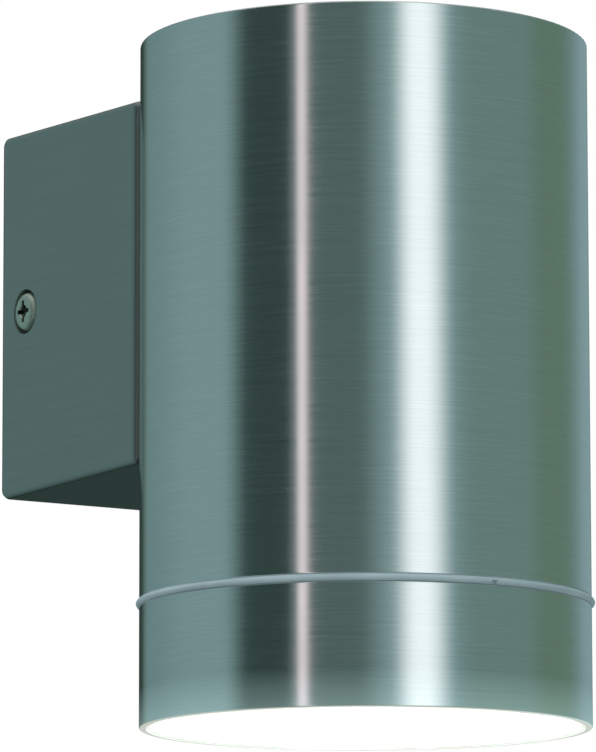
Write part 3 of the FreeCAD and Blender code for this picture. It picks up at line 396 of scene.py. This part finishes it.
# ---------------------------------------------------------------- tube and top cap
# Stainless tube, brushed round its own axis on a belt, so its grain is fine level lines and each light in
# the room becomes an upright band. The cap is a pressed disc of the same steel, let into the tube's top.
ROUND_GRAIN = (60, 60, 5200)


def brushed_round(name):
    """The tube's steel: level grain, and a gloss that is drawn out upright."""
    material, tree, shader, grain = worked_metal(
        name, (0.70, 0.715, 0.71), (0.80, 0.81, 0.80), ROUND_GRAIN, 0.21, strength=0.15
    )
    shader.inputs["Anisotropic"].default_value = 0.92
    shader.inputs["Anisotropic Rotation"].default_value = 0.25
    tangent = tree.nodes.new("ShaderNodeTangent")
    tangent.direction_type = "RADIAL"
    tangent.axis = "Z"
    tree.links.new(tangent.outputs[0], shader.inputs["Tangent"])
    return material, tree, shader


tube_steel = brushed_round("tube_steel")[0]
dress(tube_steel, "body_tube")

cap_steel = worked_metal("cap_steel", (0.58, 0.6, 0.6), (0.68, 0.7, 0.69), (3800, 60, 3800), 0.36)[0]
dress(cap_steel, "top_cap")

# ---------------------------------------------------------------- threaded ring and bezel collar
# Both are turned from aluminium bar, with the lathe's fine feed marks running round them.
# The ring is pressed into the tube; the collar is bonded into the sleeve and screws up into the ring.
glow_colour = (1.0, 0.96, 0.88)
unlit = (0, 0, 0)


def glow(tree, shader, factor, low, high, strength):
    """Light that the piece gives off itself, blended from one colour to another over its surface."""
    tree.links.new(blend_colours(tree, factor, low, high), shader.inputs["Emission Color"])
    shader.inputs["Emission Strength"].default_value = strength


def turned(name):
    """Aluminium from the lathe, with its feed marks round the light's own axis."""
    return worked_metal(name, (0.68, 0.69, 0.71), (0.84, 0.85, 0.86), (60, 60, 7000), 0.28)[:3]


turned_aluminium = turned("turned_aluminium")[0]
dress(turned_aluminium, "threaded_ring")

# Between glass and lamp the collar is flooded with light: painted light that the metal gives off itself makes
# it shine cream there.
lamp_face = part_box("lamp_reflector")[0][2]
flood_start = lamp_face + 0.001
flood_height = 0.005
collar_metal, tree, shader = turned("collar_metal")
flood = spread(tree, object_axes(tree)["Z"], 1.0, 0.0, flood_start, flood_start + flood_height)
glow(tree, shader, flood, unlit, glow_colour, 0.25)
dress(collar_metal, "bezel_collar")

# ---------------------------------------------------------------- bezel sleeve
# A short length of the same brushed tube, which unscrews with the glass.
# The lamp's light that spills round its lower rim is painted light: a glow that the steel gives off itself
# veils its last few millimetres, with a brighter painted line on the very rim.
spill_height = 0.0055
rim_glow_height = 0.00015
spill_colour = (0.10, 0.145, 0.14)
rim_glow_colour = (0.55, 0.57, 0.52)
sleeve_steel, tree, shader = brushed_round("sleeve_steel")
height = object_axes(tree)["Z"]
rim = sleeve_low[2]
# Painted light: a glow fades out over 5.5 mm above the rim, and a bright painted line sits on the rim itself.
spill = spread(tree, height, 1.0, 0.0, rim, rim + spill_height)
rim_glow_mask = spread(tree, height, 1.0, 0.0, rim, rim + rim_glow_height)
glow(tree, shader, rim_glow_mask, blend_colours(tree, spill, unlit, spill_colour), rim_glow_colour, 1.0)
dress(sleeve_steel, "bezel_sleeve")

# ---------------------------------------------------------------- seals
# A thin bead of milky silicone closes the seam between tube and sleeve and stands a little proud of them.
# A white silicone ring holds the glass in the collar; the lamp's light at its rim is painted light that the
# silicone gives off itself.
seam_silicone, tree, shader, skin = moulded(
    "seam_silicone", (0.18, 0.23, 0.25), (0.22, 0.27, 0.29), 0.4, 1800
)
shader.inputs["Specular IOR Level"].default_value = 0.2
shader.inputs["Subsurface Weight"].default_value = 0.25
shader.inputs["Subsurface Radius"].default_value = (0.0006, 0.0007, 0.0008)
# Painted light: the bead gives off a faint blue-grey glow of its own, which lightens it.
glow(tree, shader, skin.outputs["Drift"], (0.055, 0.08, 0.085), (0.07, 0.1, 0.105), 1.0)
dress(seam_silicone, "bezel_seal")

white_silicone, tree, shader, skin = moulded(
    "white_silicone", (0.8, 0.8, 0.77), (0.88, 0.88, 0.85), 0.45, 1800
)
dim_glow = [level * 0.85 for level in glow_colour]
# Painted light: the ring glows cream of its own.
glow(tree, shader, skin.outputs["Drift"], dim_glow, glow_colour, 0.45)
dress(white_silicone, "lens_seal")

# ---------------------------------------------------------------- lens glass
# A thick disc of toughened glass, clear, with a faint green body and the faint pull of its polish.
# The lamp's light behind it is painted on the glass as a cream glow of its own, the same from every side.
lens_glass, tree, shader, skin = moulded(
    "lens_glass", (0.93, 0.97, 0.94), (0.97, 0.99, 0.97), 0.08, 300, 0.00001, 0.05
)
shader.inputs["Transmission Weight"].default_value = 1.0
shader.inputs["IOR"].default_value = 1.5
# Painted light: the glass gives off the lamp's cream glow itself.
glow(tree, shader, skin.outputs["Drift"], dim_glow, glow_colour, 0.48)
dress(lens_glass, "lens_glass")

# ---------------------------------------------------------------- lampholder
# A two-part steatite holder on a plated bracket: off-white, unglazed and dry to the touch.
# Its sprung contacts are brass, and so are the earth screw and lug on the bracket beside it.
dress(zinc_plate, "lampholder_bracket", "lampholder_screws")
steatite = moulded(
    "white_steatite", (0.76, 0.74, 0.68), (0.85, 0.83, 0.77), 0.7, 1200, 0.00003, 0.4
)[0]
dress(steatite, "lampholder_body", "lampholder_lid")
dress(plain_brass, "lampholder_contacts", "earth_lug", "earth_screw")

# ---------------------------------------------------------------- leads
# Silicone-sleeved wires, matt and a little uneven: brown for live, blue for neutral.
# The earth wire is green with a yellow stripe that winds round it.
brown_sleeve = moulded("brown_sleeve", (0.12, 0.05, 0.025), (0.17, 0.075, 0.04), 0.5, 900)[0]
dress(brown_sleeve, "live_lead")
blue_sleeve = moulded("blue_sleeve", (0.03, 0.1, 0.38), (0.045, 0.14, 0.48), 0.5, 900)[0]
dress(blue_sleeve, "neutral_lead")

earth_yellow = (0.72, 0.6, 0.04)
earth_sleeve, tree, shader = moulded("earth_sleeve", (0.05, 0.3, 0.06), (0.07, 0.36, 0.08), 0.5, 900)[:3]
place = node(tree, "TexCoord").outputs["Object"]
winding = node(tree, "TexWave", Vector=place, Scale=95.0, Distortion=0.6)
winding.bands_direction = "DIAGONAL"
tint(tree, shader, spread(tree, winding.outputs["Fac"], 0.0, 1.0, 0.45, 0.55), earth_yellow)
dress(earth_sleeve, "earth_lead")

# ---------------------------------------------------------------- lamp
# A mirrored glass bowl with a frosted front, lit: its facets throw cream light down through the glass.
# The base is steatite like its holder, with two nickel-plated pins.
bowl, tree, shader = moulded("lamp_bowl", (0.62, 0.61, 0.6), (0.74, 0.73, 0.7), 0.2, 400)[:3]
shader.inputs["Metallic"].default_value = 0.6
place = node(tree, "TexCoord")
outward = node(tree, "VectorMath")
outward.operation = "SUBTRACT"
tree.links.new(place.outputs["Object"], outward.inputs[0])
outward.inputs[1].default_value = (0, AXIS_Y, 0)
level = node(tree, "VectorMath")
level.operation = "MULTIPLY"
tree.links.new(outward.outputs[0], level.inputs[0])
level.inputs[1].default_value = (1, 1, 0)
facing = node(tree, "VectorMath")
facing.operation = "DOT_PRODUCT"
tree.links.new(level.outputs[0], facing.inputs[0])
tree.links.new(place.outputs["Normal"], facing.inputs[1])
inward = -0.002
inside = spread(tree, facing.outputs["Value"], 1.0, 0.0, inward, 0.0)
facets = node(tree, "TexVoronoi", Vector=place.outputs["Object"], Scale=420.0).outputs["Distance"]
facet_light = blend_colours(tree, facets, glow_colour, dim_glow)
glow(tree, shader, inside, unlit, facet_light, 0.35)
dress(bowl, "lamp_reflector")

frosted_front, tree, shader = moulded(
    "frosted_front", (0.97, 0.97, 0.95), (0.99, 0.99, 0.98), 0.3, 500, 0.00002, 0.1
)[:3]
shader.inputs["Transmission Weight"].default_value = 1.0
shader.inputs["IOR"].default_value = 1.47
dress(frosted_front, "lamp_cover")

burner, tree, shader, skin = moulded("lamp_burner", (0.9, 0.88, 0.82), (1.0, 0.98, 0.94), 0.3, 400)
glow(tree, shader, skin.outputs["Drift"], dim_glow, glow_colour, 0.42)
dress(burner, "lamp_capsule")

dress(steatite, "lamp_base")
nickel_pins = worked_metal("nickel_pins", (0.66, 0.65, 0.62), (0.8, 0.79, 0.77), (500, 500, 3000), 0.25)[0]
dress(nickel_pins, "lamp_pins")

spill_data = bpy.data.lights.new("lamp_spill", "POINT")
spill_data.energy = 0.03
spill_data.color = glow_colour
spill_data.shadow_soft_size = 0.0008
lamp_spill = bpy.data.objects.new("lamp_spill", spill_data)
lamp_spill.location = (0, AXIS_Y, (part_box("lens_glass")[1][2] + lamp_face) / 2)
lamp_spill.visible_camera = False
lamp_spill.visible_glossy = False
lamp_spill.visible_transmission = False
bpy.context.scene.collection.objects.link(lamp_spill)
